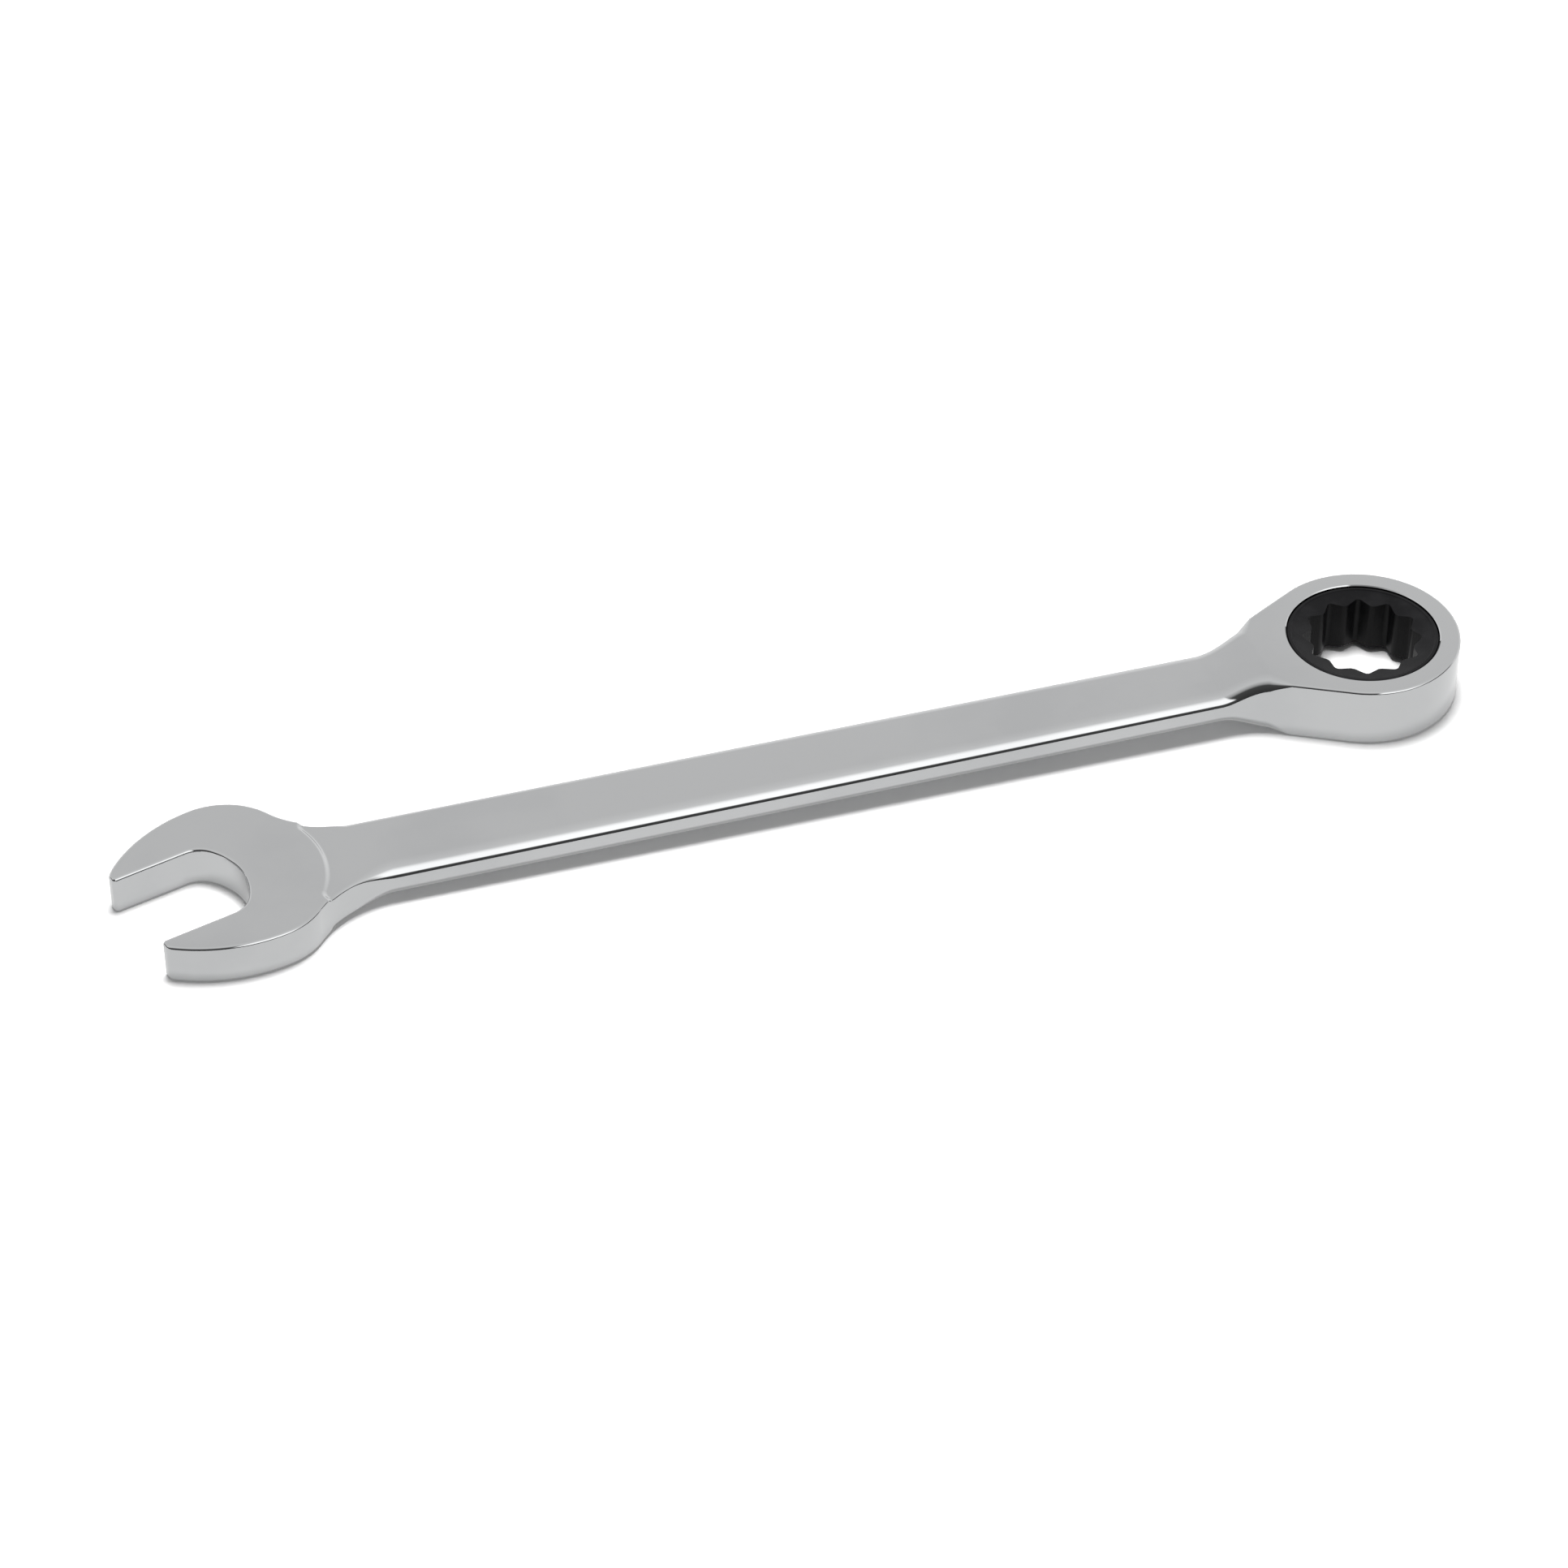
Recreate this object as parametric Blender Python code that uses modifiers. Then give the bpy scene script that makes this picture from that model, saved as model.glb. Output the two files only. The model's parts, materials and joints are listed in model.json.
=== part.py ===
"""Ratcheting combination wrench, 13 mm: an open end and a ratcheting twelve-point ring on one forging.

The wrench lies flat. +X runs from the open end to the ring, +Z is up, and the origin is under the middle of
the tool. All lengths are in metres and all angles in degrees.
"""

import math

import bmesh
import bpy
from mathutils import Vector
from mathutils.geometry import delaunay_2d_cdt

# The whole tool
OVERALL_LENGTH = 0.178
ACROSS_FLATS = 0.0131
SHANK_WIDTH = 0.0108
SHANK_THICKNESS = 0.0045
RING_THICKNESS = 0.0083
JAW_THICKNESS = 0.0054
SHANK_EDGE_RADIUS = 0.0021
RING_EDGE_RADIUS = 0.0004
JAW_EDGE_RADIUS = 0.00045
MID_HEIGHT = RING_THICKNESS / 2

# Ring end: a disc whose sides run out into a tapering neck
RING_RADIUS = 0.0127
RING_CENTER_X = OVERALL_LENGTH / 2 - RING_RADIUS
NECK_TAPER = 28.0
NECK_FILLET = 0.012
NECK_RAMP = (RING_CENTER_X - 0.0216, RING_CENTER_X - 0.0146)
NECK_EDGE_RUNOUT = (RING_CENTER_X - 0.0154, RING_CENTER_X - 0.0130)

# Open end: its own axes are s, along the slot away from its mouth, and n, across it
JAW_OFFSET = 15.0
JAW_CENTER_X = RING_CENTER_X - 0.1502
JAW_HALF_WIDTH = 0.01355
JAW_CROWN_S = 0.0003
JAW_HIP_RADIUS = 0.00895
JAW_FRONT_RADIUS = 0.0203
JAW_TIP_S = -0.0136
JAW_TIP_RADIUS = 0.0013
JAW_TIP_EDGE = 0.0005
THROAT_S = 0.0007
THROAT_RADIUS = 0.0087
THROAT_CORNER = 0.0035
FAR_FILLET = 0.0110
NEAR_FILLET = 0.0137
JAW_DISC_S = -0.0026
JAW_DISC_RADIUS = 0.01355
JAW_DISC_SPREAD = 0.0030
JAW_SPREAD_REACH = (0.0060, 0.0105)
JAW_STEP_WIDTH = 0.0008
JAW_EDGE_RUNOUT = (RING_CENTER_X - 0.1375, RING_CENTER_X - 0.1310)

# The stepped bore that holds the ratchet gear, put in from the underside
LIP_RADIUS = 0.0100
LIP_UNDERSIDE = 0.0071
BORE_RADIUS = 0.0112
BORE_CHAMFER = 0.00012
GROOVE_RADIUS = 0.0120
GROOVE_LOW = 0.00045
GROOVE_HIGH = 0.00135
CUT_PAST = 0.0005

# Ratchet gear
GEAR_TEETH = 72
GEAR_TIP_RADIUS = 0.01095
GEAR_ROOT_RADIUS = 0.0105
GEAR_TEETH_LOW = 0.0015
GEAR_TEETH_HIGH = 0.0069
GEAR_HUB_RADIUS = 0.00985
GEAR_LOW = 0.0002
GEAR_HIGH = 0.0081
COUNTERSINK_RADIUS = 0.0094
COUNTERSINK_DEPTH = 0.00065
COUNTERSINK_END_RADIUS = 0.0066
FLUTE_RADIUS = 0.0006
FLUTE_CENTER_RADIUS = 0.0072
RIDGE_RADIUS = 0.0010
OPENING_TURN = 11.5
OPENING_HALF_PITCH = 15.0

# Retaining ring
RETAINER_INNER = 0.01015
RETAINER_OUTER = 0.01185
RETAINER_LOW = 0.00055
RETAINER_HIGH = 0.00125
RETAINER_GAP = 26.0
RETAINER_GAP_AT = 90.0

# Pawl, its pocket and its spring
PAWL_HALF_WIDTH = 0.0036
PAWL_LOW = 0.0025
PAWL_HIGH = 0.0058
PAWL_BACK_X = RING_CENTER_X - 0.0150
PAWL_MESH_GAP = 0.00012
PAWL_TEETH = 7
POCKET_HALF_WIDTH = 0.0039
POCKET_LOW = 0.0023
POCKET_HIGH = 0.0060
POCKET_BACK_X = RING_CENTER_X - 0.0161
SPRING_HOLE_RADIUS = 0.0013
SPRING_HOLE_END_X = RING_CENTER_X - 0.0203
SPRING_RADIUS = 0.00085
SPRING_WIRE_RADIUS = 0.00015
SPRING_TURNS = 7
SPRING_END_GAP = 0.0003

# Fineness
ARC_STEP = 7.5
RUNOUT_STATIONS = 4
RAMP_STATIONS = 8
CONTOUR_ROUNDS = 40
BORE_STEPS = 72


def fresh_scene():
    """Remove every object that the file opened with."""
    for obj in list(bpy.data.objects):
        bpy.data.objects.remove(obj, do_unlink=True)


def new_collection(name):
    """Make a collection in the scene."""
    collection = bpy.data.collections.new(name)
    bpy.context.scene.collection.children.link(collection)
    return collection


def steel(name, color, roughness, metallic=1.0):
    """Make a Principled material."""
    material = bpy.data.materials.new(name)
    material.use_nodes = True
    shader = material.node_tree.nodes["Principled BSDF"]
    shader.inputs["Base Color"].default_value = (*color, 1.0)
    shader.inputs["Roughness"].default_value = roughness
    shader.inputs["Metallic"].default_value = metallic
    return material


def smoothed(value, low, high):
    """Rise smoothly from 0 at low to 1 at high."""
    t = min(max((value - low) / (high - low), 0.0), 1.0)
    return t * t * (3 - 2 * t)


def on_circle(center, radius, angle):
    """Give the point of a circle at an angle."""
    turn = math.radians(angle)
    return Vector((center[0] + radius * math.cos(turn), center[1] + radius * math.sin(turn)))


def arc(center, radius, start, end, step=ARC_STEP):
    """Give points along an arc, both ends included; it runs clockwise when end is below start."""
    count = max(2, math.ceil(abs(end - start) / step))
    return [on_circle(center, radius, start + (end - start) * i / count) for i in range(count + 1)]


def without_repeats(points):
    """Drop each point that repeats the one before it."""
    kept = []
    for point in points:
        if not kept or (point - kept[-1]).length > 1e-6:
            kept.append(point)
    if (kept[0] - kept[-1]).length < 1e-6:
        kept.pop()
    return kept


def from_jaw(s, n):
    """Turn a point in the open end's own axes into one in plan."""
    turn = math.radians(JAW_OFFSET)
    along = Vector((math.cos(turn), math.sin(turn)))
    across = Vector((-math.sin(turn), math.cos(turn)))
    return Vector((JAW_CENTER_X, 0)) + along * s + across * n


def direction(start, end):
    """Give the angle of the line from start to end."""
    return math.degrees(math.atan2(end[1] - start[1], end[0] - start[0]))


# ---- Plan outline of the forging -------------------------------------------------------------------------


def neck_half_width(x):
    """Give half the width of the neck and shank at x: straight shank, fillet, then straight taper."""
    slope = math.radians(NECK_TAPER)
    touch = on_circle((RING_CENTER_X, 0), RING_RADIUS, 90 + NECK_TAPER)
    corner_x = touch.x - (touch.y - SHANK_WIDTH / 2) / math.tan(slope)
    reach = NECK_FILLET * math.tan(slope / 2)
    if x >= corner_x + reach * math.cos(slope):
        return touch.y - (touch.x - x) * math.tan(slope)
    into_fillet = max(x - (corner_x - reach), 0.0)
    return SHANK_WIDTH / 2 + NECK_FILLET - math.sqrt(NECK_FILLET**2 - into_fillet**2)


def neck_stations():
    """Give the x of each cross-section between the shank and the ring's disc, from the disc outwards."""
    disc_edge = on_circle((RING_CENTER_X, 0), RING_RADIUS, 90 + NECK_TAPER).x
    low, high = NECK_EDGE_RUNOUT
    runout = [high + (low - high) * i / RUNOUT_STATIONS for i in range(RUNOUT_STATIONS)]
    ramp = [low + (NECK_RAMP[0] - low) * i / RAMP_STATIONS for i in range(RAMP_STATIONS + 1)]
    return [(disc_edge + high) / 2, *runout, *ramp]


def tip_arcs():
    """Give the far jaw's tip in the open end's axes, from its outer side round to the slot's face."""
    front_n = JAW_HALF_WIDTH - JAW_FRONT_RADIUS
    tip_s = JAW_TIP_S + JAW_TIP_RADIUS
    reach = JAW_FRONT_RADIUS - JAW_TIP_RADIUS
    tip_n = front_n + math.sqrt(reach**2 - (tip_s - JAW_CROWN_S) ** 2)
    turn = direction((JAW_CROWN_S, front_n), (tip_s, tip_n))
    edge = (JAW_TIP_S + JAW_TIP_EDGE, ACROSS_FLATS / 2 + JAW_TIP_EDGE)
    return [
        *arc((JAW_CROWN_S, front_n), JAW_FRONT_RADIUS, 90, turn, 5),
        *arc((tip_s, tip_n), JAW_TIP_RADIUS, turn, 180, 16),
        *arc(edge, JAW_TIP_EDGE, 180, 270, 30),
    ]


def throat_arcs():
    """Give the slot's end in the open end's axes, from the far face round to its middle."""
    bottom_s = THROAT_S - THROAT_RADIUS
    corner_n = ACROSS_FLATS / 2 - THROAT_CORNER
    corner_s = bottom_s + math.sqrt((THROAT_RADIUS - THROAT_CORNER) ** 2 - corner_n**2)
    turn = direction((bottom_s, 0), (corner_s, corner_n))
    return [
        *arc((corner_s, corner_n), THROAT_CORNER, 90, turn, 11),
        *arc((bottom_s, 0), THROAT_RADIUS, turn, 0, 9),
    ]


def hip_and_fillet(side):
    """Give the outline from the shank's edge to the jaw's crown, on the far (1) or near (-1) side."""
    hip = from_jaw(JAW_CROWN_S, side * (JAW_HALF_WIDTH - JAW_HIP_RADIUS))
    fillet = FAR_FILLET if side > 0 else NEAR_FILLET
    rise = SHANK_WIDTH / 2 + fillet - side * hip.y
    center = Vector((hip.x + math.sqrt((JAW_HIP_RADIUS + fillet) ** 2 - rise**2), 0))
    center.y = side * (SHANK_WIDTH / 2 + fillet)
    meets = direction(hip, center)
    to_hip = meets - 180 * side
    return [
        *arc(center, fillet, -90 * side, to_hip, 3.2),
        *arc(hip, JAW_HIP_RADIUS, meets, 90 * side + JAW_OFFSET, 9),
    ]


def ring_arc():
    """Give the ring's part of the outline, from its near side round to its far side."""
    return arc((RING_CENTER_X, 0), RING_RADIUS, -90 - NECK_TAPER, 90 + NECK_TAPER)


def outline():
    """Give the forging's plan outline, anticlockwise from the ring's near side."""
    neck = [Vector((x, neck_half_width(x))) for x in neck_stations()]
    tip, throat = tip_arcs(), throat_arcs()
    far_jaw = [from_jaw(*p) for p in tip + throat]
    near_jaw = [from_jaw(p[0], -p[1]) for p in reversed(tip + throat)]
    return without_repeats(
        [
            *ring_arc(),
            *neck,
            *hip_and_fillet(1),
            *far_jaw,
            *near_jaw,
            *reversed(hip_and_fillet(-1)),
            *[Vector((p.x, -p.y)) for p in reversed(neck)],
        ]
    )


# ---- Thickness and edges of the forging --------------------------------------------------------------------


def disc_spread(across):
    """Give how much the jaw's raised disc is widened at a distance across the tool from its middle."""
    return JAW_DISC_SPREAD * smoothed(abs(across), *JAW_SPREAD_REACH)


def off_disc(point):
    """Give how far outside the jaw's raised disc a point in plan lies."""
    from_middle = point.xy - from_jaw(JAW_DISC_S, 0)
    return from_middle.length - JAW_DISC_RADIUS - disc_spread(from_middle.y)


def half_thickness(point):
    """Give half the forging's thickness at a point in plan."""
    head = 1 - smoothed(off_disc(point), -JAW_STEP_WIDTH / 2, JAW_STEP_WIDTH / 2)
    neck = smoothed(point.x, *NECK_RAMP)
    grown = head * (JAW_THICKNESS - SHANK_THICKNESS) + neck * (RING_THICKNESS - SHANK_THICKNESS)
    return (SHANK_THICKNESS + grown) / 2


def edge_radius(point):
    """Give the radius of the forging's edge at a point in plan: full on the shank, small on both heads."""
    jaw = 1 - smoothed(point.x, *JAW_EDGE_RUNOUT)
    low, high = NECK_EDGE_RUNOUT
    ring = min(max((point.x - low) / (high - low), 0), 1)
    return (
        SHANK_EDGE_RADIUS * (1 - jaw - ring) + JAW_EDGE_RADIUS * jaw + RING_EDGE_RADIUS * ring
    )


def outward(points, i):
    """Give the outline's outward direction at a point."""
    run = points[(i + 1) % len(points)] - points[i - 1]
    return Vector((run.y, -run.x)).normalized()


def disc_contour(off, start, end, step):
    """Give points that lie off the jaw's raised disc by a distance, between two angles."""
    middle = from_jaw(JAW_DISC_S, 0)
    count = math.ceil(abs(end - start) / step)
    points = []
    for i in range(1, count):
        angle = start + (end - start) * i / count
        radius = JAW_DISC_RADIUS
        for _ in range(CONTOUR_ROUNDS):
            radius = JAW_DISC_RADIUS + off + disc_spread(radius * math.sin(math.radians(angle)))
        points.append(on_circle(middle, radius, angle))
    return points


def step_lines(rim):
    """Give the lines that the cap's height follows, as (end, inner points, end) with ends on the rim."""
    first = len(ring_arc())
    lines = [(first + j, [], len(rim) - 1 - j) for j in range(len(neck_stations()))]
    middle = from_jaw(JAW_DISC_S, 0)
    for off in (-JAW_STEP_WIDTH / 2, 0, JAW_STEP_WIDTH / 2):
        ends = [min(side, key=lambda k: abs(off_disc(rim[k]) - off)) for side in rim_sides(rim)]
        turns = [direction(middle, rim[k]) for k in ends]
        lines.append((ends[0], disc_contour(off, *turns, 6), ends[1]))
    return lines


def rim_sides(rim):
    """Give the rim's points that lie between the open end and the shank, far side and then near side."""
    low, high = JAW_CENTER_X + 0.005, JAW_EDGE_RUNOUT[1]
    between = [k for k, point in enumerate(rim) if low < point.x < high and abs(point.y) > 0.004]
    return [[k for k in between if rim[k].y > 0], [k for k in between if rim[k].y < 0]]


def add_cap(mesh, rim, side):
    """Close the top (1) or underside (-1) with triangles that meet along the step lines."""
    points = [vert.co.xy for vert in rim]
    edges = []
    for first, inner, last in step_lines([vert.co for vert in rim]):
        chain = [first, *range(len(points), len(points) + len(inner)), last]
        points.extend(inner)
        edges.extend(zip(chain, chain[1:]))
    flat = delaunay_2d_cdt(points, edges, [list(range(len(rim)))], 1, 1e-9)
    verts = []
    for point, sources in zip(flat[0], flat[3]):
        if sources and sources[0] < len(rim):
            verts.append(rim[sources[0]])
        else:
            verts.append(mesh.verts.new((*point, MID_HEIGHT + side * half_thickness(point))))
    for face in flat[2]:
        mesh.faces.new([verts[k] for k in face])


def add_forging(material, collection):
    """Build the forging as a loft of its outline, stepped in round both edges, with a cap on each face."""
    points = outline()
    mesh = bmesh.new()
    levels = []
    for side, angles in ((-1, (90, 60, 30, 0)), (1, (0, 30, 60, 90))):
        for angle in angles:
            level = []
            for i, point in enumerate(points):
                radius = edge_radius(point)
                inset = radius * (1 - math.cos(math.radians(angle)))
                place = point - outward(points, i) * inset
                rise = half_thickness(place) - radius * (1 - math.sin(math.radians(angle)))
                level.append(mesh.verts.new((*place, MID_HEIGHT + side * rise)))
            levels.append(level)
    for low, high in zip(levels, levels[1:]):
        for i in range(len(points)):
            mesh.faces.new((low[i - 1], low[i], high[i], high[i - 1]))
    add_cap(mesh, levels[0], -1)
    add_cap(mesh, levels[-1], 1)
    bmesh.ops.recalc_face_normals(mesh, faces=mesh.faces)
    return object_from(mesh, "wrench_body", material, collection)


# ---- Pieces made from profiles and outlines ----------------------------------------------------------------


def object_from(mesh, name, material, collection, location=(0, 0, 0)):
    """Make an object from a bmesh, shaded smooth up to 30 degrees."""
    data = bpy.data.meshes.new(name)
    mesh.to_mesh(data)
    mesh.free()
    data.shade_smooth()
    data.set_sharp_from_angle(angle=math.radians(30))
    obj = bpy.data.objects.new(name, data)
    obj.location = location
    collection.objects.link(obj)
    if material:
        data.materials.append(material)
    return obj


def as_cutter(obj):
    """Keep an object out of the model, as a cutter."""
    obj.hide_render = True
    obj.display_type = "WIRE"
    return obj


def boolean(obj, other, operation="DIFFERENCE"):
    """Add an exact Boolean modifier."""
    modifier = obj.modifiers.new(f"{operation.lower()} {other.name}", "BOOLEAN")
    modifier.operation = operation
    modifier.solver = "EXACT"
    modifier.object = other


def add_turned(name, profile, collection, location, steps=BORE_STEPS):
    """Turn a profile of (radius, height) pairs, listed from the top down, about a vertical axis."""
    data = bpy.data.meshes.new(name)
    data.from_pydata([(r, 0, z) for r, z in profile], [(i, i + 1) for i in range(len(profile) - 1)], [])
    obj = bpy.data.objects.new(name, data)
    obj.location = location
    collection.objects.link(obj)
    screw = obj.modifiers.new("turn", "SCREW")
    screw.steps = steps
    screw.render_steps = steps
    screw.use_merge_vertices = True
    screw.merge_threshold = 0.00001
    return obj


def add_plate(name, outlines, low, high, material, collection, location=(0, 0, 0)):
    """Make a flat plate from closed plan outlines, the first one outside and any others holes."""
    curve = bpy.data.curves.new(name, "CURVE")
    curve.dimensions = "2D"
    curve.fill_mode = "BOTH"
    curve.extrude = (high - low) / 2
    for points in outlines:
        spline = curve.splines.new("POLY")
        spline.points.add(len(points) - 1)
        for place, point in zip(spline.points, points):
            place.co = (*point, 0, 1)
        spline.use_cyclic_u = True
    guide = bpy.data.objects.new(name, curve)
    guide.location = (location[0], location[1], location[2] + (low + high) / 2)
    collection.objects.link(guide)
    bpy.context.view_layer.update()
    graph = bpy.context.evaluated_depsgraph_get()
    mesh = bmesh.new()
    mesh.from_mesh(bpy.data.meshes.new_from_object(guide.evaluated_get(graph)))
    bmesh.ops.remove_doubles(mesh, verts=mesh.verts, dist=0.000001)
    bmesh.ops.recalc_face_normals(mesh, faces=mesh.faces)
    place = guide.location.copy()
    bpy.data.objects.remove(guide, do_unlink=True)
    return object_from(mesh, name, material, collection, place)


def circle(radius, steps=BORE_STEPS):
    """Give the points of a circle about the origin."""
    return arc((0, 0), radius, 0, 360, 360 / steps)[:-1]


def twelve_points():
    """Give the outline of a twelve-point opening: round flutes, and flat flanks up to the rounded ridges."""
    flute = Vector((FLUTE_CENTER_RADIUS, 0))
    ridge_reach = ACROSS_FLATS / 2 / math.cos(math.radians(OPENING_HALF_PITCH)) + RIDGE_RADIUS
    ridge = on_circle((0, 0), ridge_reach, OPENING_HALF_PITCH)
    leans = math.degrees(math.acos((FLUTE_RADIUS + RIDGE_RADIUS) / (ridge - flute).length))
    flute_half = direction(flute, ridge) - leans
    ridge_half = flute_half - OPENING_HALF_PITCH
    points = []
    for i in range(12):
        turn = OPENING_TURN + 2 * OPENING_HALF_PITCH * i
        flute = on_circle((0, 0), FLUTE_CENTER_RADIUS, turn)
        points.extend(arc(flute, FLUTE_RADIUS, turn - flute_half, turn + flute_half, 18))
        ridge_turn = turn + OPENING_HALF_PITCH
        ridge = on_circle((0, 0), ridge_reach, ridge_turn)
        inwards = ridge_turn + 180
        points.extend(arc(ridge, RIDGE_RADIUS, inwards + ridge_half, inwards - ridge_half, 14))
    return points


def toothed(tip, root):
    """Give a circle of gear teeth with flat tips and roots, a root facing the pawl's middle."""
    pitch = 360 / GEAR_TEETH
    points = []
    for i in range(GEAR_TEETH):
        for share, radius in ((0.12, root), (0.42, tip), (0.58, tip), (0.88, root)):
            points.append(on_circle((0, 0), radius, (i + share) * pitch))
    return points


def pawl_outline():
    """Give the pawl's outline about the gear's centre: teeth that fit the gear's spaces, and a plain back."""
    pitch = 360 / GEAR_TEETH
    tip, root = GEAR_ROOT_RADIUS + PAWL_MESH_GAP, GEAR_TIP_RADIUS + PAWL_MESH_GAP
    teeth = []
    for i in range(PAWL_TEETH):
        middle = 180 + (i - (PAWL_TEETH - 1) / 2) * pitch
        for share, radius in ((-0.38, root), (-0.08, tip), (0.08, tip), (0.38, root)):
            teeth.append(on_circle((0, 0), radius, middle + share * pitch))
    back = PAWL_BACK_X - RING_CENTER_X
    corner = 0.0008
    shoulder = -math.sqrt((GEAR_TIP_RADIUS + 0.0003) ** 2 - PAWL_HALF_WIDTH**2) - 0.0004
    return [
        Vector((shoulder, PAWL_HALF_WIDTH)),
        Vector((back + corner, PAWL_HALF_WIDTH)),
        Vector((back, PAWL_HALF_WIDTH - corner)),
        Vector((back, corner - PAWL_HALF_WIDTH)),
        Vector((back + corner, -PAWL_HALF_WIDTH)),
        Vector((shoulder, -PAWL_HALF_WIDTH)),
        *reversed(teeth),
    ]


def add_bore_cutter(collection):
    """Make the solid that the bore takes away: the gear's lip, its bore and the retaining ring's groove."""
    past = BORE_CHAMFER + CUT_PAST
    profile = [
        (0, RING_THICKNESS + CUT_PAST),
        (LIP_RADIUS + past, RING_THICKNESS + CUT_PAST),
        (LIP_RADIUS, RING_THICKNESS - BORE_CHAMFER),
        (LIP_RADIUS, LIP_UNDERSIDE),
        (BORE_RADIUS, LIP_UNDERSIDE),
        (BORE_RADIUS, GROOVE_HIGH),
        (GROOVE_RADIUS, GROOVE_HIGH),
        (GROOVE_RADIUS, GROOVE_LOW),
        (BORE_RADIUS, GROOVE_LOW),
        (BORE_RADIUS, BORE_CHAMFER),
        (BORE_RADIUS + past, -CUT_PAST),
        (0, -CUT_PAST),
    ]
    return as_cutter(add_turned("bore_cutter", profile, collection, (RING_CENTER_X, 0, 0)))


def add_pocket_cutter(collection):
    """Make the solid that the pawl's pocket takes away, open into the bore."""
    front_x = RING_CENTER_X - BORE_RADIUS * 0.8
    size = (front_x - POCKET_BACK_X, 2 * POCKET_HALF_WIDTH, POCKET_HIGH - POCKET_LOW)
    mesh = bmesh.new()
    bmesh.ops.create_cube(mesh, size=1)
    bmesh.ops.scale(mesh, vec=size, verts=mesh.verts)
    place = ((front_x + POCKET_BACK_X) / 2, 0, (POCKET_LOW + POCKET_HIGH) / 2)
    obj = as_cutter(object_from(mesh, "pocket_cutter", None, collection, place))
    return obj


def add_spring_hole_cutter(collection):
    """Make the solid that the spring's blind hole takes away, from inside the pocket towards the shank."""
    start_x = POCKET_BACK_X + 0.0008
    mesh = bmesh.new()
    bmesh.ops.create_cone(
        mesh,
        cap_ends=True,
        segments=20,
        radius1=SPRING_HOLE_RADIUS,
        radius2=SPRING_HOLE_RADIUS,
        depth=start_x - SPRING_HOLE_END_X,
    )
    place = ((start_x + SPRING_HOLE_END_X) / 2, 0, MID_HEIGHT)
    obj = as_cutter(object_from(mesh, "spring_hole_cutter", None, collection, place))
    obj.rotation_euler = (0, math.radians(90), 0)
    return obj


def add_gear(material, collection, cutters):
    """Build the ratchet gear: a twelve-point hub, a band of teeth and a countersink at each mouth."""
    center = (RING_CENTER_X, 0, 0)
    hub = add_plate(
        "ratchet_gear",
        (circle(GEAR_HUB_RADIUS), twelve_points()),
        GEAR_LOW,
        GEAR_HIGH,
        material,
        collection,
        center,
    )
    teeth = add_plate(
        "tooth_band",
        (toothed(GEAR_TIP_RADIUS, GEAR_ROOT_RADIUS), circle(GEAR_HUB_RADIUS - 0.0006)),
        GEAR_TEETH_LOW,
        GEAR_TEETH_HIGH,
        None,
        cutters,
        center,
    )
    boolean(hub, as_cutter(teeth), "UNION")
    spread = COUNTERSINK_RADIUS + (COUNTERSINK_RADIUS - COUNTERSINK_END_RADIUS) * CUT_PAST / COUNTERSINK_DEPTH
    top = [
        (0, GEAR_HIGH + CUT_PAST),
        (spread, GEAR_HIGH + CUT_PAST),
        (COUNTERSINK_END_RADIUS, GEAR_HIGH - COUNTERSINK_DEPTH),
        (0, GEAR_HIGH - COUNTERSINK_DEPTH),
    ]
    low = [(r, GEAR_LOW + GEAR_HIGH - z) for r, z in reversed(top)]
    for name, profile in (("top_countersink", top), ("low_countersink", low)):
        boolean(hub, as_cutter(add_turned(name, profile, cutters, center)))
    return hub


def add_retaining_ring(material, collection):
    """Build the split ring that sits in the bore's groove under the gear."""
    start = RETAINER_GAP_AT + RETAINER_GAP / 2
    end = RETAINER_GAP_AT + 360 - RETAINER_GAP / 2
    points = [
        *arc((0, 0), RETAINER_OUTER, start, end, 7),
        *arc((0, 0), RETAINER_INNER, end, start, 7),
    ]
    center = (RING_CENTER_X, 0, 0)
    return add_plate("retaining_ring", (points,), RETAINER_LOW, RETAINER_HIGH, material, collection, center)


def add_pawl(material, collection):
    """Build the pawl, in mesh with the gear."""
    center = (RING_CENTER_X, 0, 0)
    return add_plate("pawl", (pawl_outline(),), PAWL_LOW, PAWL_HIGH, material, collection, center)


def add_spring(material, collection):
    """Build the coil spring behind the pawl, with its axis along X."""
    low, high = SPRING_HOLE_END_X + SPRING_END_GAP, PAWL_BACK_X - SPRING_END_GAP
    curve = bpy.data.curves.new("pawl_spring", "CURVE")
    curve.dimensions = "3D"
    curve.bevel_depth = SPRING_WIRE_RADIUS
    curve.bevel_resolution = 1
    curve.use_fill_caps = True
    spline = curve.splines.new("POLY")
    per_turn = 14
    count = SPRING_TURNS * per_turn
    spline.points.add(count)
    for i, point in enumerate(spline.points):
        turn = math.radians(360 * i / per_turn)
        along = (high - low) * i / count - (high - low) / 2
        point.co = (along, SPRING_RADIUS * math.cos(turn), SPRING_RADIUS * math.sin(turn), 1)
    obj = bpy.data.objects.new("pawl_spring", curve)
    obj.location = ((low + high) / 2, 0, MID_HEIGHT)
    obj.data.materials.append(material)
    collection.objects.link(obj)
    return obj


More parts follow.
